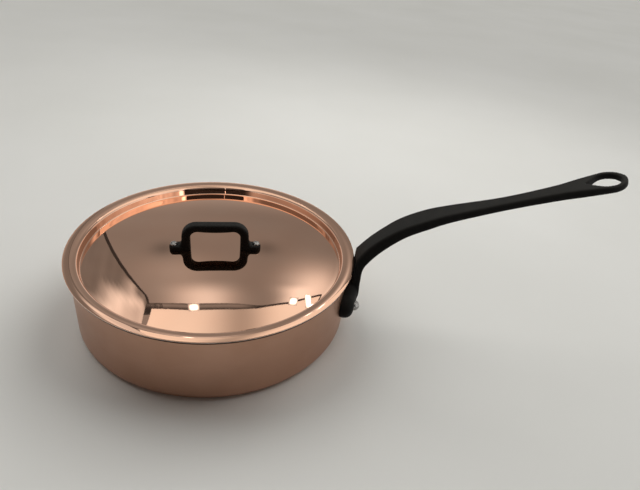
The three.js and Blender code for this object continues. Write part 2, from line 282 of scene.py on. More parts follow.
# Dim strips behind the seams: the back one's height, the spans of the others as shares of the way to the
# right, how high the roof's one lies and how far back the others do, as shares of the tent
BACK_STRIP_HEIGHT = 0.1
LEFT_STRIP = (-0.1, 0.1)
ROOF_STRIP = (-0.03, 0.13)
ROOF_STRIP_RISE = 1.03
SEAM_BEHIND = 0.004

# At the back corner the left wall is lower, the roof starts further right and it sags; each of these ends
# at a share of the way to the front
LEFT_TOP = 0.93
LEFT_TOP_END = 0.4
ROOF_START = 0.062
ROOF_START_END = 0.4
ROOF_SAG_END = 0.2

# Folds of the cloth: waves of the broad ones and their sway, then share and waves of the fine ones
BROAD_FOLDS = 11
FOLD_SWAY = 3
SWAY_WAVES = 5
SWAY_START = 1
FINE_FOLDS = [(0.6, -9, 23), (0.4, 41, 17)]

# Folds of each sheet: their depth, and how often the pattern repeats across and up
BACK_FOLDS = (0.06, 1, 1)
LEFT_FOLDS = (0.1, 2, 3)
RIGHT_FOLDS = (0.16, 2, 3)
FLAP_FOLDS = (0.2, 6, 2)

# Brightness of the cloth: LEVEL at both ends of a sheet or all over it,
# and GLOW, FADE or SHADE as a strength with the shares where it starts and where it is full
BACK_LEVEL = (0.265, 0.215)
BACK_FLOOR_GLOW = (0.5, 0.4, 0.12)
LEFT_LEVEL = 0.2
LEFT_TOP_GLOW = (0.85, 0.79, 0.97)
LEFT_TOP_FADE = (0.3, 0.95, 1.05)
LEFT_FLOOR_GLOW = (0.4, 0.4, 0.12)
LEFT_FRONT_GLOW = (0.3, 0.7, 0.95)
LEFT_FRONT_SHADE = (0.85, 0.86, 1)
LEFT_CORNER_SHADE = (0.85, 0.82, 0.9)
RIGHT_LEVEL = (0.4, 1)
RIGHT_FLOOR_GLOW = (0.3, 0.4, 0.12)
RIGHT_TOP_GLOW = (0.4, 0.66, 0.92)
FLAP_LEVEL = (0.3, 1.05)
DOOR_LEVEL = 0.028
SEAM_LEVEL = 0.04
SEAM_GLOW = (0.22, 0.45, 0.36)
ROOF_SEAM_LEVEL = 0.28
ROOF_LEVEL = 1.02

# Shade on the roof, then the middles and widths of shades and glows, as shares of their sheets
ROOF_SHADE = 0.55
ROOF_SHADE_PLACE = (0.335, 0.1)
LEFT_CORNER_PLACE = (0.01, 0.03)
SEAM_GLOW_PLACE = (0.5, 0.13)

# Glows high on the back wall: strength, middle and width across, heights where it starts and is full, power
BACK_GLOWS = [
    (0.15, 0.15, 0.12, 0.42, 0.54, 1),
    (0.5, 0.2, 0.1, 0.58, 0.67, 1),
    (0.8, 0.6, 0.09, 0.36, 0.62, 1.6),
    (0.5, 0.53, 0.05, 0.59, 0.64, 1),
]

# Bright top of the left wall, which comes down towards the front and ripples:
# its slope, the share of the depth where that ends, and the size and waves of the ripple
LEFT_SLOPE = 1.25
LEFT_SLOPE_END = 0.2
LEFT_RIPPLE = (0.025, 60, 9)

# Dark door in front and the dark opening above it: shares of the height and how softly they end,
# then shares of the way to the right where the door's left edge and the right edge of both fade
DOOR_OPEN = (0.1, 0.5)
UPPER_OPEN = (0.6, 0.88)
DOOR_EDGE = 0.04
DOOR_LEFT = (-0.06, 0.03)
DOOR_RIGHT = (0.64, 0.58)

# Bright spots stand a share of the tent's depth before the cloth and fade towards their rims
SPOT_FRONT = 0.02
SPOT_EDGE = 0.4
SPOT_STEPS = 10
SPOT_TINT = (1, 1, 1)

# Lamps at the upper seam, seen in reflections:
# share of the way to the right, height above the seam, width and height, lean towards the front in radians
LAMPS = [
    (0.208, -0.018, 0.034, 0.042, 0),
    (0.553, -0.026, 0.028, 0.046, 0),
    (0.605, -0.008, 0.022, 0.09, 1.1),
]
LAMP_LEVEL = 6
LAMP_RIM = 0.5

# Bright gaps in and beside the dark door: shares of the way to the right and of the height, then size
DOOR_GAPS = [(0.21, 0.35, 0.004, 0.5), (0.59, 0.35, 0.06, 0.16), (0.6, 0.72, 0.06, 0.1)]
DOOR_GAP_LEVEL = 3.2
DOOR_GAP_RIM = 0.8

# Sizes that follow from those above
PAN_SHEET = PAN_LINING + BOND_GAP + PAN_COPPER
PAN_INNER_RADIUS = LIP_RADIUS - LIP_BEND_RADIUS - LIP_FLAT
WALL_RADIUS = PAN_INNER_RADIUS + PAN_SHEET
LID_SHEET = LID_COPPER + BOND_GAP + LID_LINING
WELL_RADIUS = PAN_INNER_RADIUS - PLUG_CLEARANCE - LID_SHEET
RIVET_HEIGHT = PAN_HEIGHT - RIVET_DROP
RIVET_ANGLE = RIVET_SPREAD / 2 / WALL_RADIUS
INNER_SEAT = math.sqrt(PAN_INNER_RADIUS**2 - RIVET_INNER_HEAD[0] ** 2) - RIVET_GAP
OUTER_SEAT = WALL_RADIUS + BRACKET_THICKNESS + RIVET_GAP

# Round end of the handle: how far its edge lies beyond its middle, and the middle's place
END_RUN = END_RADIUS * math.cos(math.radians(END_LEAN))
END_CLIMB = END_RADIUS * math.sin(math.radians(END_LEAN))
END_OUT = HANDLE_REACH - END_RUN
END_UP = HANDLE_RISE - END_CLIMB

# Flange of the lid: a bend out of the well, then a crowned rim that bears on the outer edge of the lip
BEND_X = WELL_RADIUS + FLANGE_BEND_RADIUS
CROWN_X = BEND_X + (CROWN_RADIUS - FLANGE_BEND_RADIUS) * math.sin(FLANGE_TILT)
LID_RADIUS = LIP_RADIUS + LID_OVERHANG
FLANGE_DROP = math.asin((LID_RADIUS - CROWN_X) / CROWN_RADIUS)
BEARING_ANGLE = math.asin((LIP_RADIUS - CROWN_X) / (CROWN_RADIUS - LID_SHEET))
CROWN_Z = PAN_HEIGHT + SEAT_GAP - (CROWN_RADIUS - LID_SHEET) * math.cos(BEARING_ANGLE)
BEND_Z = CROWN_Z + (CROWN_RADIUS - FLANGE_BEND_RADIUS) * math.cos(FLANGE_TILT)

# Dome of the lid: a shallow cap that ends in a rounded channel at the foot of the slanted well wall
CHANNEL_BOTTOM = CROWN_Z + CROWN_RADIUS - WELL_DEPTH
CHANNEL_Z = CHANNEL_BOTTOM + CHANNEL_RADIUS
WALL_LEAN = (BEND_Z - CHANNEL_Z) * math.sin(WELL_DRAFT)
DOME_HALF = BEND_X - (FLANGE_BEND_RADIUS + CHANNEL_RADIUS + WALL_LEAN) / math.cos(WELL_DRAFT)
DOME_TOP = CHANNEL_BOTTOM + DOME_RISE
DOME_RADIUS = (DOME_HALF**2 + DOME_RISE**2) / (2 * DOME_RISE) - CHANNEL_RADIUS
DOME_EDGE = math.asin(DOME_HALF / (DOME_RADIUS + CHANNEL_RADIUS))
DOME_CENTRE_Z = DOME_TOP - DOME_RADIUS

# Loop and rivets on the dome
DOME_DROP = DOME_RADIUS - math.sqrt(DOME_RADIUS**2 - (FOOT_SPAN / 2) ** 2)
CASTING_BASE = DOME_TOP - DOME_DROP - LOOP_EDGE_RADIUS
LID_RIVET_EDGE = LID_RIVET_SPAN / 2 + LID_RIVET_INNER_HEAD[0]
UNDERSIDE_RADIUS = DOME_RADIUS - LID_SHEET
LID_RIVET_BASE = DOME_CENTRE_Z + math.sqrt(UNDERSIDE_RADIUS**2 - LID_RIVET_EDGE**2) - RIVET_GAP
LID_RIVET_TOP = DOME_TOP + FOOT_THICKNESS + RIVET_GAP

# Directions of the tent, each as long as the tent is that way
ACROSS = TENT_BACK_RIGHT - TENT_BACK_LEFT
FORWARD = Vector((ACROSS.y, -ACROSS.x, 0)).normalized() * TENT_DEPTH


# Shares and soft changes
def clamped(share):
    return min(1, max(0, share))


def blend(ends, share):
    """Value part of the way from one end to the other."""
    return ends[0] + (ends[1] - ends[0]) * share


def ease(at, start, end):
    """0 at the start and 1 at the end, with a soft change between them."""
    share = clamped((at - start) / (end - start))
    return share * share * (3 - 2 * share)


def hump(at, middle, width):
    """1 in the middle, and less and less on both sides of it."""
    return math.exp(-(((at - middle) / width) ** 2))


# Outlines
def arc(x, y, radius, start, end, steps):
    """Points of an arc, with its angles in radians from +X."""
    turns = [start + (end - start) * i / steps for i in range(steps + 1)]
    return [(x + radius * math.cos(turn), y + radius * math.sin(turn)) for turn in turns]


def bow(start, pull, end, steps):
    """Points of a quadratic curve from start to end, drawn towards pull."""
    points = []
    for i in range(steps + 1):
        t = i / steps
        weights = ((1 - t) ** 2, 2 * t * (1 - t), t**2)
        points.append(tuple(sum(w * p[k] for w, p in zip(weights, (start, pull, end))) for k in range(2)))
    return points


def mirrored(half):
    """Whole outline from its half at +X."""
    return [*half, *[(-x, y) for x, y in reversed(half)]]


def without_repeats(points):
    return [p for i, p in enumerate(points) if i == 0 or math.dist(p, points[i - 1]) > TOUCH]


# Meshes
def add_object(name, data):
    piece = bpy.data.objects.new(name, data)
    bpy.context.scene.collection.objects.link(piece)
    return piece


def smooth_shaded(mesh):
    mesh.polygons.foreach_set("use_smooth", [True] * len(mesh.polygons))
    mesh.set_sharp_from_angle(angle=SHARP_ANGLE)


def mark_points(mesh, name, values):
    """Writes a value to each point, for the material to read."""
    mesh.attributes.new(name, "FLOAT", "POINT").data.foreach_set("value", values)


def plain_mesh(piece):
    """Mesh of a piece with its modifiers or its curve worked out."""
    bpy.context.view_layer.update()
    graph = bpy.context.evaluated_depsgraph_get()
    return bpy.data.meshes.new_from_object(piece.evaluated_get(graph))


def settle(piece):
    """Turns the modifiers of a piece into plain mesh."""
    made = plain_mesh(piece)
    old = piece.data
    piece.modifiers.clear()
    piece.data = made
    bpy.data.meshes.remove(old)


def faced_out(mesh):
    """Joins points that touch, and turns all faces outwards."""
    skin = bmesh.new()
    skin.from_mesh(mesh)
    bmesh.ops.remove_doubles(skin, verts=skin.verts, dist=TOUCH)
    bmesh.ops.recalc_face_normals(skin, faces=skin.faces)
    skin.to_mesh(mesh)
    skin.free()
    return mesh


def revolve_mesh(name, profile, steps):
    """Closed skin of a profile that starts and ends on the axis, with its run marked on each point."""
    vertices, runs, rings = [], [], []
    run = 0
    points = [(x if x > TOUCH else 0, z) for x, z in without_repeats(profile)]
    for i, (x, z) in enumerate(points):
        run += math.dist((x, z), points[i - 1]) if i else 0
        turns = [2 * math.pi * j / steps for j in range(steps)] if x else [0]
        rings.append([len(vertices) + j for j in range(len(turns))])
        vertices += [(x * math.cos(turn), x * math.sin(turn), z) for turn in turns]
        runs += [run] * len(turns)
    faces = []
    for low, high in zip(rings, rings[1:]):
        for j in range(steps):
            k = j + 1
            corners = [low[j % len(low)], low[k % len(low)], high[k % len(high)], high[j % len(high)]]
            faces.append(list(dict.fromkeys(corners)))
    mesh = bpy.data.meshes.new(name)
    mesh.from_pydata(vertices, [], [face for face in faces if len(face) > 2])
    mark_points(mesh, "run", runs)
    return faced_out(mesh)


def rod_mesh(radius, low, high, steps):
    return revolve_mesh("rod", [(0, low), (radius, low), (radius, high), (0, high)], steps)


def loft_mesh(rings):
    """Closed skin through rings of equal count."""
    count = len(rings[0])
    faces = []
    for i in range(len(rings) - 1):
        for j in range(count):
            a, b = i * count + j, i * count + (j + 1) % count
            faces.append((a, b, b + count, a + count))
    last = (len(rings) - 1) * count
    faces.append(tuple(range(count)))
    faces.append(tuple(range(last, last + count)))
    mesh = bpy.data.meshes.new("loft")
    mesh.from_pydata([point for ring in rings for point in ring], [], faces)
    return faced_out(mesh)


def plate_mesh(outline, low, high, edge):
    """Plate over a flat outline, from one height to another, with its edges rounded inside the outline."""
    curve = bpy.data.curves.new("plate", "CURVE")
    curve.dimensions = "2D"
    curve.fill_mode = "BOTH"
    curve.extrude = (high - low) / 2 - edge
    curve.bevel_depth = edge
    curve.bevel_resolution = PLATE_EDGE_STEPS
    curve.offset = -edge
    points = without_repeats(outline)
    spline = curve.splines.new("POLY")
    spline.points.add(len(points) - 1)
    for point, (x, y) in zip(spline.points, points):
        point.co = (x, y, 0, 1)
    spline.use_cyclic_u = True
    holder = add_object("plate", curve)
    mesh = plain_mesh(holder)
    bpy.data.objects.remove(holder)
    mesh.transform(Matrix.Translation((0, 0, (low + high) / 2)))
    return faced_out(mesh)


def cut(piece, tool_meshes):
    for mesh in tool_meshes:
        tool = add_object("tool", mesh)
        boolean = piece.modifiers.new("cut", "BOOLEAN")
        boolean.operation = "DIFFERENCE"
        boolean.solver = "EXACT"
        boolean.object = tool
        settle(piece)
        bpy.data.objects.remove(tool)


def cast(name, meshes, voxel, rounds, swell):
    """One casting out of several closed skins: fused, with its corners and inner angles softened."""
    skin = bmesh.new()
    for mesh in meshes:
        skin.from_mesh(mesh)
    fused = bpy.data.meshes.new(name)
    skin.to_mesh(fused)
    skin.free()
    piece = add_object(name, fused)
    remesh = piece.modifiers.new("fuse", "REMESH")
    remesh.mode = "VOXEL"
    remesh.voxel_size = voxel
    settle(piece)
    skin = bmesh.new()
    skin.from_mesh(piece.data)
    axes = {"use_axis_x": True, "use_axis_y": True, "use_axis_z": True}
    for _ in range(rounds):
        bmesh.ops.smooth_vert(skin, verts=skin.verts, factor=SOFTENING, **axes)
    skin.normal_update()
    for vertex in skin.verts:
        vertex.co += vertex.normal * swell
    skin.to_mesh(piece.data)
    skin.free()
    return piece


def mark_edges(mesh):
    """Marks on each point how much the skin bulges there, from 0 on a flat to 1 on a worn edge."""
    bulge = [0.0] * len(mesh.vertices)
    count = [0] * len(mesh.vertices)
    for edge in mesh.edges:
        a, b = (mesh.vertices[i] for i in edge.vertices)
        way = (a.co - b.co).normalized()
        bulge[a.index] += a.normal.dot(way)
        bulge[b.index] -= b.normal.dot(way)
        count[a.index] += 1
        count[b.index] += 1
    mark_points(mesh, "worn", [clamped(WORN_GAIN * total / max(1, n)) for total, n in zip(bulge, count)])


# Materials
def new_material(name):
    material = bpy.data.materials.new(name)
    material.use_nodes = True
    return material, material.node_tree, material.node_tree.nodes["Principled BSDF"]


def add_node(tree, kind, inputs=None, **settings):
    node = tree.nodes.new(kind)
    for key, value in settings.items():
        setattr(node, key, value)
    for key, value in (inputs or {}).items():
        if isinstance(value, bpy.types.NodeSocket):
            tree.links.new(value, node.inputs[key])
        else:
            node.inputs[key].default_value = value
    return node


def object_place(tree):
    return add_node(tree, "ShaderNodeTexCoord").outputs["Object"]


def attribute(tree, name):
    return add_node(tree, "ShaderNodeAttribute", attribute_name=name).outputs["Fac"]


def noise(tree, place, scale, detail):
    values = {"Vector": place, "Scale": scale, "Detail": detail}
    return add_node(tree, "ShaderNodeTexNoise", values).outputs["Fac"]


def spun_lines(tree, run, scale, detail):
    """Noise that changes only along the profile, as the lines that a spinning polish leaves."""
    values = {"W": run, "Scale": scale, "Detail": detail}
    return add_node(tree, "ShaderNodeTexNoise", values, noise_dimensions="1D").outputs["Fac"]


def spread(tree, value, low, high, span=NOISE_SPAN):
    """Maps a span of a value to the one from low to high."""
    values = {"Value": value, "From Min": span[0], "From Max": span[1], "To Min": low, "To Max": high}
    return add_node(tree, "ShaderNodeMapRange", values).outputs["Result"]


def between(tree, share, dark, light):
    """Colour between two, which may be other nodes' colours, by a share."""
    node = add_node(tree, "ShaderNodeMix", data_type="RGBA")
    tree.links.new(share, node.inputs["Factor"])
    for socket, colour in zip((i for i in node.inputs if i.type == "RGBA"), (dark, light)):
        if isinstance(colour, bpy.types.NodeSocket):
            tree.links.new(colour, socket)
        else:
            socket.default_value = (*colour, 1)
    return next(out for out in node.outputs if out.type == "RGBA")


def bump(tree, shader, height, strength, distance):
    values = {"Height": height, "Strength": strength, "Distance": distance}
    tree.links.new(add_node(tree, "ShaderNodeBump", values).outputs["Normal"], shader.inputs["Normal"])


def spun_metal(name, dark, light, roughness, line_strength, anisotropy):
    """Metal polished on a spinning wheel, with faint lines round it, cloudy patches and wiped smears."""
    material, tree, shader = new_material(name)
    place = object_place(tree)
    run = attribute(tree, "run")
    clouds = noise(tree, place, *CLOUDS)
    rings = spun_lines(tree, run, *RINGS)
    smears = noise(tree, place, *SMEARS)
    clean = between(tree, spread(tree, clouds, 0, 1), dark, light)
    # Darkened where the mesh marks painted shade on the lip's edge and painted reflections of the loop's
    # feet
    colour = between(tree, attribute(tree, "painted_shade_and_reflection"), clean, PAINTED_SHADE_AND_REFLECTION)
    tree.links.new(colour, shader.inputs["Base Color"])
    mixed = add_node(tree, "ShaderNodeMath", {0: rings, 1: smears}, operation="MULTIPLY").outputs[0]
    tree.links.new(spread(tree, mixed, *roughness, SMEAR_SPAN), shader.inputs["Roughness"])
    shader.inputs["Metallic"].default_value = 1
    shader.inputs["Anisotropic"].default_value = anisotropy
    tangent = add_node(tree, "ShaderNodeTangent", direction_type="RADIAL", axis="Z")
    tree.links.new(tangent.outputs["Tangent"], shader.inputs["Tangent"])
    bump(tree, shader, spun_lines(tree, run, *LINES), line_strength, LINE_DEPTH)
    return material


def cast_iron(name):
    """Black cast iron with a fine sandy grain and soft lumps, dull and a little dusty where it faces up."""
    material, tree, shader = new_material(name)
    place = object_place(tree)
    grain = noise(tree, place, *GRAIN)
    lumps = noise(tree, place, *LUMPS)
    facing = add_node(tree, "ShaderNodeNewGeometry").outputs["Normal"]
    upward = add_node(tree, "ShaderNodeSeparateXYZ", {"Vector": facing}).outputs["Z"]
    dust = spread(tree, upward, 0, 1, DUST_SPAN)
    clean = between(tree, spread(tree, lumps, 0, 1), *IRON_COLOURS)
    dusty = between(tree, spread(tree, lumps, 0, 1), *DUST_COLOURS)
    colour = between(tree, attribute(tree, "worn"), between(tree, dust, clean, dusty), WORN_COLOUR)
    tree.links.new(colour, shader.inputs["Base Color"])
    tree.links.new(spread(tree, lumps, *IRON_ROUGHNESS), shader.inputs["Roughness"])
    shader.inputs["Specular IOR Level"].default_value = IRON_SHINE
    height = add_node(tree, "ShaderNodeMath", {0: grain, 1: lumps}, operation="ADD").outputs[0]
    bump(tree, shader, height, GRAIN_STRENGTH, GRAIN_DEPTH)
    return material


def hammered_steel(name):
    """Bright steel rivet heads with the small dents of the hammer."""
    material, tree, shader = new_material(name)
    place = object_place(tree)
    dents = noise(tree, place, *DENTS)
    scuffs = noise(tree, place, *SCUFFS)
    colour = between(tree, spread(tree, scuffs, 0, 1), *RIVET_COLOURS)
    tree.links.new(colour, shader.inputs["Base Color"])
    tree.links.new(spread(tree, scuffs, *RIVET_ROUGHNESS), shader.inputs["Roughness"])
    shader.inputs["Metallic"].default_value = 1
    bump(tree, shader, dents, DENT_STRENGTH, DENT_DEPTH)
    return material


def glow(name, tint):
    """Material that glows as bright as its mesh says."""
    material = bpy.data.materials.new(name)
    material.use_nodes = True
    tree = material.node_tree
    tree.nodes.clear()
    light = add_node(tree, "ShaderNodeEmission", {"Color": (*tint, 1), "Strength": attribute(tree, "glow")})
    output = add_node(tree, "ShaderNodeOutputMaterial")
    tree.links.new(light.outputs["Emission"], output.inputs["Surface"])
    return material


lid_copper = spun_metal("polished_copper", *LID_FINISH)
# Brushed copper of the pan, with painted shade darkening its colour
pan_copper = spun_metal("brushed_copper_with_painted_shade", *SHADED_PAN_FINISH)
lining_steel = spun_metal("lining_steel", *LINING_FINISH)
black_iron = cast_iron("black_cast_iron")
rivet_steel = hammered_steel("hammered_steel")


def dress(piece, body, node, material):
    """Gives a piece its surface and its body, and hides the imported node that it stands for."""
    smooth_shaded(piece.data)
    piece.data.materials.clear()
    piece.data.materials.append(material)
    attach(piece, body)
    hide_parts(node)


# Sheets of the pan and of the lid
def pan_line(depth):
    """Cooking face of the pan, or what lies at a depth behind it."""
    corner_x = PAN_INNER_RADIUS - CORNER_RADIUS
    lip_x = PAN_INNER_RADIUS + LIP_BEND_RADIUS
    lip_z = PAN_HEIGHT - LIP_BEND_RADIUS
    return [
        (0, PAN_SHEET - depth),
        *arc(corner_x, PAN_SHEET + CORNER_RADIUS, CORNER_RADIUS + depth, -QUARTER, 0, BEND_STEPS),
        *arc(lip_x, lip_z, LIP_BEND_RADIUS - depth, 2 * QUARTER, QUARTER, BEND_STEPS),
        (LIP_RADIUS, PAN_HEIGHT - depth),
    ]


def lid_line(depth):
    """Upper face of the lid, or what lies at a depth below it."""
    tilt = QUARTER + FLANGE_TILT
    return [
        *arc(0, DOME_CENTRE_Z, DOME_RADIUS - depth, QUARTER, QUARTER - DOME_EDGE, DOME_STEPS),
        *arc(DOME_HALF, CHANNEL_Z, CHANNEL_RADIUS + depth, -QUARTER - DOME_EDGE, -WELL_DRAFT, BEND_STEPS),
        *arc(BEND_X, BEND_Z, FLANGE_BEND_RADIUS - depth, 2 * QUARTER - WELL_DRAFT, tilt, BEND_STEPS),
        *arc(CROWN_X, CROWN_Z, CROWN_RADIUS - depth, tilt, QUARTER - FLANGE_DROP, BEND_STEPS),
    ]


def sheet(name, line, upper, lower, edge):
    """Sheet between two depths of a line, turned round the axis, with its edge rounded."""
    profile = [*line(lower), *reversed(line(upper))]
    piece = add_object(name, revolve_mesh(name, profile, TURN_STEPS))
    bevel = piece.modifiers.new("edge", "BEVEL")
    bevel.limit_method = "ANGLE"
    bevel.angle_limit = SHARP_ANGLE
    bevel.width = edge
    bevel.segments = SHEET_EDGE_STEPS
    settle(piece)
    return piece


def painted_shade_and_reflection(mesh, share):
    """Marks on each point how much painted shade and painted reflection darken it, by a function of its
    place.
    """
    mark_points(mesh, "painted_shade_and_reflection", [clamped(share(vertex.co.x, vertex.co.y)) for vertex in mesh.vertices])


def lip_gap_shade(x, y):
    """Painted shade of the gap under the lid's flange: 1 on the outer edge of the lip, and 0 a little way
    in.
    """
    return (LIP_SHADE_REACH - (LIP_RADIUS - math.hypot(x, y))) / LIP_SHADE_FADE


def foot_reflections(x, y):
    """Painted reflections of the loop's feet: dark patches on the dome just beyond them."""
    out = FOOT_SPAN / 2 + FOOT_REFLECTION_OUT
    share = 0
    for way in (-1, 1):
        away = math.dist((x, y), (way * out * math.cos(LID_TURN), way * out * math.sin(LID_TURN)))
        share += FOOT_REFLECTION_SHARE * hump(away, 0, FOOT_REFLECTION_REACH)
    return share


pan_shell = sheet("pan_shell", pan_line, PAN_LINING + BOND_GAP, PAN_SHEET, SHEET_EDGE)
pan_lining = sheet("pan_lining", pan_line, 0, PAN_LINING, LINING_EDGE)
# Painted shade on the lip's outer edge, standing for the shadowed gap under the lid's flange
painted_shade_and_reflection(pan_shell.data, lip_gap_shade)
lid_shell = sheet("lid_shell", lid_line, 0, LID_COPPER, SHEET_EDGE)
lid_lining = sheet("lid_lining", lid_line, LID_COPPER + BOND_GAP, LID_SHEET, LINING_EDGE)
# Painted reflections of the loop's feet, as dark patches on the dome beside them
painted_shade_and_reflection(lid_shell.data, foot_reflections)
dress(pan_shell, "pan", "pan_copper_shell", pan_copper)
dress(pan_lining, "pan", "pan_steel_lining", lining_steel)
dress(lid_shell, "lid", "lid_copper_shell", lid_copper)
dress(lid_lining, "lid", "lid_steel_lining", lining_steel)


# Rivets
def rivet_mesh(radius, grip, lower, upper):
    """Rivet along +Z: the first head lies below 0, the second above the length that is gripped."""

    def dome(head, base, way):
        points = arc(0, 0, 1, 0, QUARTER, BEND_STEPS)
        return [(x * head[0], base + way * z * head[1]) for x, z in points]

    profile = [*reversed(dome(lower, 0, -1)), (radius, 0), (radius, grip), *dome(upper, grip, 1)]
    return revolve_mesh("rivet", profile, RIVET_STEPS)


def wall_frame(angle, height):
    """Frame on the wall at an angle round the pan: X along the wall, Y up, Z outwards."""
    along = Vector((-math.sin(angle), math.cos(angle), 0))
    outward = Vector((math.cos(angle), math.sin(angle), 0))
    axes = Matrix((along, UP, outward)).transposed().to_4x4()
    return Matrix.Translation((0, 0, height)) @ axes


rivet_frames = [wall_frame(angle, RIVET_HEIGHT) for angle in (-RIVET_ANGLE, RIVET_ANGLE)]
for number, place in enumerate(rivet_frames, 1):
    rivet = rivet_mesh(RIVET_RADIUS, OUTER_SEAT - INNER_SEAT, RIVET_INNER_HEAD, RIVET_OUTER_HEAD)
    rivet.transform(place @ Matrix.Translation((0, 0, INNER_SEAT)))
    piece = add_object(f"bracket_rivet_{number}", rivet)
    dress(piece, "pan", f"handle_rivet_{number}", rivet_steel)


# Long handle
def handle_rows():
    """Rows of the whole handle in metres, out from the wall, up to the middle of its round end."""
    rows = [(out * MM, up * MM, lean, thick * MM, half * MM) for out, up, lean, thick, half in NECK_ROWS]
    for back, down, lean, thick, half in GRIP_ROWS:
        rows.append((END_OUT - back * MM, END_UP - down * MM, lean, thick * MM, half * MM))
    rows.append((END_OUT, END_UP, END_LEAN, END_THICKNESS, END_RADIUS))
    return rows


def smooth_rows(rows, steps):
    """Rows along a smooth run through the given ones."""
    fine = []
    for i in range(len(rows) - 1):
        before, start = rows[max(0, i - 1)], rows[i]
        end, after = rows[i + 1], rows[min(len(rows) - 1, i + 2)]
        for j in range(steps):
            t = j / steps
            row = []
            for p0, p1, p2, p3 in zip(before, start, end, after):
                leave, arrive = (p2 - p0) / 2, (p3 - p1) / 2
                cubic = 2 * p1 - 2 * p2 + leave + arrive
                square = 3 * p2 - 3 * p1 - 2 * leave - arrive
                row.append(((cubic * t + square) * t + leave) * t + p1)
            fine.append(row)
    fine.append(rows[-1])
    return fine


def handle_section(out, up, lean, thickness, half):
    """Rounded-rectangle section of the handle, square to its run."""
    radius = min(HANDLE_EDGE_RADIUS, EDGE_LIMIT * thickness / 2, EDGE_LIMIT * half)
    across, deep = half - radius, thickness / 2 - radius
    corners = [(across, deep), (-across, deep), (-across, -deep), (across, -deep)]
    ring = []
    for k, (y, n) in enumerate(corners):
        ring += arc(y, n, radius, k * QUARTER, (k + 1) * QUARTER, SECTION_STEPS)
    sine, cosine = math.sin(math.radians(lean)), math.cos(math.radians(lean))
    return [(WALL_RADIUS + out - n * sine, y, PAN_HEIGHT + up + n * cosine) for y, n in ring]


def handle_bar():
    rings = [handle_section(*row) for row in smooth_rows(handle_rows(), ROW_STEPS)]
    for i in range(1, END_STEPS + 1):
        turn = TIP_TURN * i / END_STEPS
        share = math.sin(turn)
        half = END_RADIUS * math.cos(turn)
        out, up = END_OUT + END_RUN * share, END_UP + END_CLIMB * share
        rings.append(handle_section(out, up, END_LEAN, END_THICKNESS, half))
    return loft_mesh(rings)


def eye_tool():
    """Teardrop hanging eye, pointed towards the pan."""
    point = EYE_LENGTH - EYE_RADIUS
    touch = math.acos(EYE_RADIUS / point)
    outline = [(-point, 0), *arc(0, 0, EYE_RADIUS, touch - math.pi, math.pi - touch, 4 * OUTLINE_STEPS)]
    ring = [Vector((x, y, 0)) for x, y in outline]
    depth = Vector((0, 0, 2 * END_THICKNESS))
    mesh = loft_mesh([[p - depth for p in ring], [p + depth for p in ring]])
    lean = Matrix.Rotation(-math.radians(END_LEAN), 4, "Y")
    mesh.transform(Matrix.Translation((WALL_RADIUS + END_OUT, 0, PAN_HEIGHT + END_UP)) @ lean)
    return mesh


def bracket_lobe(side):
    """One lobe of the bracket: a cushioned pad round its rivet, with a shoulder up to the neck."""
    middle = -RIVET_SPREAD / 2
    neck = middle - BRACKET_EDGE_RADIUS
    shoulder = (middle + SHOULDER_HALF_WIDTH, SHOULDER_HEIGHT)
    start = (LOBE_RADIUS * math.cos(LOBE_SHOULDER_TURN), LOBE_RADIUS * math.sin(LOBE_SHOULDER_TURN))
    outline = [
        (neck, SHOULDER_HEIGHT),
        *bow(shoulder, (-SHOULDER_BEND, LOBE_RADIUS), start, OUTLINE_STEPS),
        *arc(0, 0, LOBE_RADIUS, LOBE_SHOULDER_TURN, LOBE_FOOT_TURN, 2 * OUTLINE_STEPS),
        (neck, LOBE_RADIUS * math.sin(LOBE_FOOT_TURN) + WEB_RISE),
    ]
    flipped = [(side * x, y) for x, y in outline]
    low, high = WALL_RADIUS - 2 * BRACKET_EDGE_RADIUS, WALL_RADIUS + BRACKET_THICKNESS
    mesh = plate_mesh(flipped, low, high, BRACKET_EDGE_RADIUS)
    mesh.transform(wall_frame(side * RIVET_ANGLE, RIVET_HEIGHT))
    return mesh


def long_handle():
    bar = add_object("bar", handle_bar())
    cut(bar, [eye_tool()])
    casting = cast("long_handle", [bar.data, bracket_lobe(1), bracket_lobe(-1)], *HANDLE_CASTING)
    bpy.data.objects.remove(bar)
    bores = []
    for place in rivet_frames:
        bore = rod_mesh(RIVET_RADIUS + RIVET_GAP, INNER_SEAT, OUTER_SEAT + RIVET_OUTER_HEAD[1], RIVET_STEPS)
        bore.transform(place)
        bores.append(bore)
    rim = PAN_HEIGHT - LIP_BEND_RADIUS
    wall = rod_mesh(WALL_RADIUS + CASTING_GAP, 0, rim, TURN_STEPS)
    lift = rod_mesh(LID_RADIUS + LIFT_GAP, rim, PAN_HEIGHT + HANDLE_RISE, TURN_STEPS)
    mark_edges(casting.data)
    cut(casting, [wall, lift, *bores])
    return casting


dress(long_handle(), "pan", "handle", black_iron)


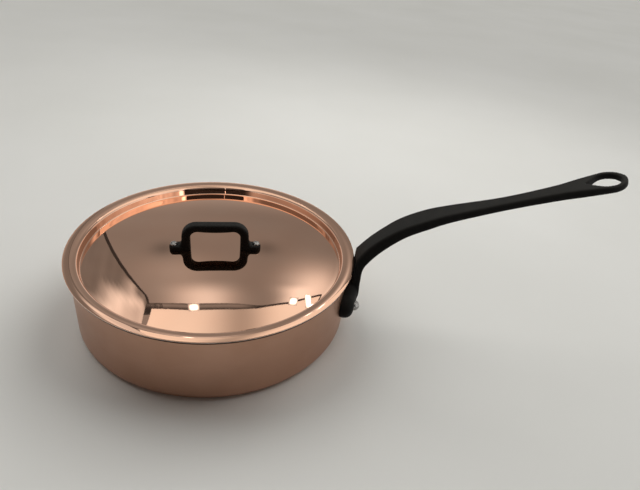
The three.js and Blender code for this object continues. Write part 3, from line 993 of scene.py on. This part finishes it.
# Loop handle of the lid
def loop_arch():
    """Arch of the loop, which flares into its feet."""
    half = LOOP_SPAN / 2
    top = DOME_TOP + LOOP_HEIGHT
    inner = half - LOOP_LEG
    inner_top = top - LOOP_BAR
    belly = inner_top - LOOP_BELLY
    foot_top = DOME_TOP + FOOT_THICKNESS
    flare = LID_RIVET_SPAN / 2 - LID_RIVET_OUTER_HEAD[0] - RIVET_GAP
    corner = half - LOOP_CORNER_RADIUS
    inner_corner = inner - LOOP_INNER_RADIUS
    half_outline = [
        *bow((0, belly), (inner_corner / 2, belly), (inner_corner, inner_top), BELLY_STEPS),
        *arc(inner_corner, inner_top - LOOP_INNER_RADIUS, LOOP_INNER_RADIUS, QUARTER, 0, OUTLINE_STEPS),
        (inner, CASTING_BASE),
        (flare, CASTING_BASE),
        *bow((flare, foot_top), (half, foot_top), (half, foot_top + FLARE_HEIGHT), OUTLINE_STEPS),
        *arc(corner, top - LOOP_CORNER_RADIUS, LOOP_CORNER_RADIUS, 0, QUARTER, OUTLINE_STEPS),
    ]
    mesh = plate_mesh(mirrored(half_outline), -LOOP_DEPTH / 2, LOOP_DEPTH / 2, LOOP_EDGE_RADIUS)
    mesh.transform(Matrix.Rotation(QUARTER, 4, "X"))
    return mesh


def loop_foot(side):
    """One foot of the loop: a flat pad with a round end that the rivet goes through."""
    width = FOOT_WIDTH / 2
    end = FOOT_SPAN / 2 - width
    start = LOOP_SPAN / 2 - LOOP_LEG
    outline = [
        (start, -LOOP_DEPTH / 2),
        (end - width, -width),
        *arc(end, 0, width, -QUARTER, QUARTER, 2 * OUTLINE_STEPS),
        (end - width, width),
        (start, LOOP_DEPTH / 2),
    ]
    flipped = [(side * x, y) for x, y in outline]
    return plate_mesh(flipped, CASTING_BASE, DOME_TOP + FOOT_THICKNESS, FOOT_EDGE_RADIUS)


def lid_loop():
    casting = cast("lid_loop", [loop_arch(), loop_foot(1), loop_foot(-1)], *LOOP_CASTING)
    dome = [
        (0, 0),
        (DOME_HALF, 0),
        *arc(0, DOME_CENTRE_Z + CASTING_GAP, DOME_RADIUS, QUARTER - DOME_EDGE, QUARTER, DOME_STEPS),
    ]
    bores = []
    for side in (-1, 1):
        low, high = LID_RIVET_BASE, LID_RIVET_TOP + LID_RIVET_OUTER_HEAD[1]
        bore = rod_mesh(LID_RIVET_RADIUS + RIVET_GAP, low, high, RIVET_STEPS)
        bore.transform(Matrix.Translation((side * LID_RIVET_SPAN / 2, 0, 0)))
        bores.append(bore)
    mark_edges(casting.data)
    cut(casting, [revolve_mesh("dome", dome, TURN_STEPS), *bores])
    casting.data.transform(Matrix.Rotation(LID_TURN, 4, "Z"))
    return casting


dress(lid_loop(), "lid", "lid_handle", black_iron)
for number, side in enumerate((-1, 1), 1):
    grip = LID_RIVET_TOP - LID_RIVET_BASE
    rivet = rivet_mesh(LID_RIVET_RADIUS, grip, LID_RIVET_INNER_HEAD, LID_RIVET_OUTER_HEAD)
    spot = Matrix.Translation((side * LID_RIVET_SPAN / 2, 0, LID_RIVET_BASE))
    rivet.transform(Matrix.Rotation(LID_TURN, 4, "Z") @ spot)
    piece = add_object(f"loop_rivet_{number}", rivet)
    dress(piece, "lid", f"lid_rivet_{number}", rivet_steel)


# Stage: a pale floor, and a tent of white cloth that shows only in reflections
def pale_floor():
    material, tree, shader = new_material("pale_floor")
    patches = noise(tree, object_place(tree), *FLOOR_PATCHES)
    colour = between(tree, spread(tree, patches, 0, 1), *FLOOR_COLOURS)
    tree.links.new(colour, shader.inputs["Base Color"])
    shader.inputs["Roughness"].default_value = FLOOR_ROUGHNESS
    shader.inputs["Specular IOR Level"].default_value = FLOOR_SHINE
    h, z = FLOOR_HALF, -FLOOR_DROP
    mesh = bpy.data.meshes.new("floor")
    mesh.from_pydata([(-h, -h, z), (h, -h, z), (h, h, z), (-h, h, z)], [], [(0, 1, 2, 3)])
    mesh.materials.append(material)
    add_object("floor", mesh)


def follow(points, at):
    """Height of a line through points at a place."""
    for (x0, y0), (x1, y1) in zip(points, points[1:]):
        if at <= x1:
            return y0 + (y1 - y0) * (at - x0) / (x1 - x0)
    return points[-1][1]


def gain(at, strength, start, end):
    """What comes in softly from a start, up to its full strength at an end."""
    return strength * ease(at, start, end)


def stretch(at, low, high):
    """1 between two places, and 0 beyond their soft edges."""
    return ease(at, low, low + DOOR_EDGE) * ease(at, high, high - DOOR_EDGE)


def fold(s, t, depth, across, upward):
    """Light and shade of loose folds in the cloth."""
    s, t = across * s, upward * t
    wave = math.sin(BROAD_FOLDS * s + FOLD_SWAY * math.sin(SWAY_WAVES * t + SWAY_START))
    for share, waves_across, waves_up in FINE_FOLDS:
        wave += share * math.sin(waves_across * s + waves_up * t)
    return 1 + depth * wave / 2


def cloth(name, place, level, tint=WALL_TINT, steps=TENT_STEPS):
    """Sheet of the tent, seen by shiny surfaces alone, with its place and its brightness by two shares."""
    shares = [(i / steps, j / steps) for j in range(steps + 1) for i in range(steps + 1)]
    faces = []
    for j in range(steps):
        for i in range(steps):
            a = j * (steps + 1) + i
            faces.append((a, a + 1, a + steps + 2, a + steps + 1))
    mesh = bpy.data.meshes.new(name)
    mesh.from_pydata([tuple(place(s, t)) for s, t in shares], [], faces)
    mark_points(mesh, "glow", [level(s, t) for s, t in shares])
    piece = add_object(name, mesh)
    mesh.materials.append(glow(name, tint))
    piece.visible_camera = False
    piece.visible_diffuse = False
    piece.visible_shadow = False
    return piece


def bright_spot(name, middle, along, upward, level, rim):
    """Bright patch, which fades to the level of its rim."""

    def place(s, t):
        return middle + along * (s - 0.5) + upward * (t - 0.5)

    def fade(at):
        return ease(at, 0, SPOT_EDGE) * ease(at, 1, 1 - SPOT_EDGE)

    def spot_level(s, t):
        return blend((rim, level), fade(s) * fade(t))

    cloth(name, place, spot_level, SPOT_TINT, SPOT_STEPS)


# Places on the sheets of the tent, by shares across and up, or towards the front
def back_place(s, height):
    return TENT_BACK_LEFT + ACROSS * s + UP * height


def side_place(foot, s, t):
    return foot + FORWARD * s + UP * (TENT_HEIGHT * t)


def back_wall(s, t):
    start = follow(LEFT_SEAM, t * TENT_HEIGHT)
    s = start + s * (1 - start)
    return back_place(s, t * (follow(BACK_SEAM, s) - follow(SEAM_WIDTH, s) / 2))


def roof(s, t):
    start = ROOF_START * ease(t, ROOF_START_END, 0)
    s = start + s * (1 - start)
    sag = follow(BACK_SEAM, s) + follow(SEAM_WIDTH, s) / 2
    return back_place(s, blend((sag, TENT_HEIGHT), ease(t, 0, ROOF_SAG_END))) + FORWARD * t


def left_wall(s, t):
    seam = ACROSS * (follow(LEFT_SEAM, t * TENT_HEIGHT) - LEFT_SEAM_WIDTH)
    top = blend((LEFT_TOP, 1), ease(s, 0, LEFT_TOP_END))
    return side_place(TENT_BACK_LEFT, s, t * top) + seam * (1 - s)


def right_wall(s, t):
    return side_place(TENT_BACK_RIGHT, s, t)


def front_wall(s, t):
    return side_place(TENT_BACK_LEFT + ACROSS * s, 1, t)


def back_seam(s, t):
    height = follow(BACK_SEAM, s) + (t - 0.5) * BACK_STRIP_HEIGHT
    return back_place(s, height) - FORWARD * SEAM_BEHIND


def left_seam(s, t):
    return side_place(TENT_BACK_LEFT + ACROSS * blend(LEFT_STRIP, s), -SEAM_BEHIND, t)


def roof_seam(s, t):
    return side_place(TENT_BACK_LEFT + ACROSS * blend(ROOF_STRIP, t), s, ROOF_STRIP_RISE)


# Brightness of the sheets of the tent
def back_level(s, t):
    height = t * follow(BACK_SEAM, s)
    shine = blend(BACK_LEVEL, s) + gain(t, *BACK_FLOOR_GLOW)
    for strength, middle, width, low, high, power in BACK_GLOWS:
        shine += strength * hump(s, middle, width) * ease(height, low, high) ** power
    return shine * fold(s, t, *BACK_FOLDS)


def roof_level(s, t):
    return (ROOF_LEVEL - ROOF_SHADE * hump(s, *ROOF_SHADE_PLACE)) * fold(s, t, *BACK_FOLDS)


def left_level(s, t):
    size, waves_across, waves_up = LEFT_RIPPLE
    ripple = size * math.sin(waves_across * s + waves_up * t)
    climb = t + LEFT_SLOPE * min(s, LEFT_SLOPE_END) + ripple
    shine = LEFT_LEVEL + gain(climb, *LEFT_TOP_GLOW) - gain(climb, *LEFT_TOP_FADE)
    shine += gain(t, *LEFT_FLOOR_GLOW)
    shine *= 1 - hump(s, *LEFT_CORNER_PLACE) * gain(t, *LEFT_CORNER_SHADE)
    shine += gain(s, *LEFT_FRONT_GLOW)
    shine *= 1 - gain(s, *LEFT_FRONT_SHADE) * stretch(t, *DOOR_OPEN)
    return shine * fold(s, t, *LEFT_FOLDS)


def right_level(s, t):
    shine = blend(RIGHT_LEVEL, s) + gain(t, *RIGHT_FLOOR_GLOW) + gain(t, *RIGHT_TOP_GLOW)
    return shine * fold(s, t, *RIGHT_FOLDS)


def front_level(s, t):
    door = stretch(t, *DOOR_OPEN) * ease(s, *DOOR_LEFT) + stretch(t, *UPPER_OPEN)
    flap = blend(FLAP_LEVEL, s) * fold(s, t, *FLAP_FOLDS)
    return blend((flap, DOOR_LEVEL), door * ease(s, *DOOR_RIGHT))


def seam_level(s, t):
    return SEAM_LEVEL + hump(t, *SEAM_GLOW_PLACE) * gain(s, *SEAM_GLOW)


def tent():
    cloth("back_wall", back_wall, back_level)
    cloth("roof", roof, roof_level, ROOF_TINT)
    cloth("left_wall", left_wall, left_level)
    cloth("right_wall", right_wall, right_level)
    cloth("front_wall", front_wall, front_level)
    cloth("back_seam", back_seam, seam_level)
    cloth("left_seam", left_seam, lambda s, t: SEAM_LEVEL)
    cloth("roof_seam", roof_seam, lambda s, t: ROOF_SEAM_LEVEL)
    along, forth = ACROSS.normalized(), FORWARD.normalized()
    for number, (at, rise, width, height, lean) in enumerate(LAMPS, 1):
        middle = back_place(at, follow(BACK_SEAM, at) + rise) + FORWARD * SPOT_FRONT
        upward = (UP * math.cos(lean) + forth * math.sin(lean)) * height
        bright_spot(f"lamp_{number}", middle, along * width, upward, LAMP_LEVEL, LAMP_RIM)
    for number, (at, rise, width, height) in enumerate(DOOR_GAPS, 1):
        middle = front_wall(at, rise) - FORWARD * SPOT_FRONT
        bright_spot(f"door_gap_{number}", middle, along * width, UP * height, DOOR_GAP_LEVEL, DOOR_GAP_RIM)


def far_wall():
    """Pale wall far off all round, which only the camera sees."""

    def place(s, t):
        turn = 2 * math.pi * s
        return Vector((FLOOR_HALF * math.cos(turn), FLOOR_HALF * math.sin(turn), FLOOR_HALF * t))

    wall = cloth("far_wall", place, lambda s, t: FAR_LEVEL)
    wall.visible_camera = True
    wall.visible_glossy = False


# Light and camera
def lamp(name, kind, place, target, power):
    """Lamp that lights the dull surfaces; the shiny ones reflect the tent instead."""
    light = bpy.data.lights.new(name, kind)
    light.energy = power
    light.color = LIGHT_TINT
    holder = add_object(name, light)
    holder.location = place
    holder.rotation_euler = (Vector(target) - Vector(place)).to_track_quat("-Z", "Y").to_euler()
    holder.visible_camera = False
    holder.visible_glossy = False
    return light


def soft_light():
    for number, place in enumerate(SKY_FROM, 1):
        sky = lamp(f"sky_light_{number}", "SUN", place, (0, 0, 0), SKY_POWER)
        sky.angle = SKY_ANGLE
    back = lamp("back_light", "AREA", BACK_LIGHT_PLACE, BACK_LIGHT_TARGET, BACK_LIGHT_POWER)
    back.shape = "RECTANGLE"
    back.size, back.size_y = BACK_LIGHT_SIZE


def pale_world():
    """Faint even light from all round."""
    world = bpy.data.worlds.new("soft_light")
    world.use_nodes = True
    world.node_tree.nodes["Background"].inputs["Color"].default_value = WORLD_COLOUR
    bpy.context.scene.world = world


def photo_camera():
    data = bpy.data.cameras.new("camera")
    data.sensor_width = CAMERA_SENSOR
    data.lens = CAMERA_LENS
    data.clip_start = CAMERA_NEAR
    camera = add_object("camera", data)
    right = Vector((1, 0, 0))
    up = Vector((0, math.sin(CAMERA_PITCH), math.cos(CAMERA_PITCH)))
    back = Vector((0, -math.cos(CAMERA_PITCH), math.sin(CAMERA_PITCH)))
    x_axis = math.cos(CAMERA_ROLL) * right + math.sin(CAMERA_ROLL) * up
    y_axis = math.cos(CAMERA_ROLL) * up - math.sin(CAMERA_ROLL) * right
    turn = Matrix((x_axis, y_axis, back)).transposed().to_4x4()
    camera.matrix_world = Matrix.Translation(CAMERA_PLACE) @ turn
    bpy.context.scene.camera = camera


pale_floor()
tent()
soft_light()
pale_world()
far_wall()
photo_camera()
bpy.context.scene.view_settings.view_transform = "Standard"
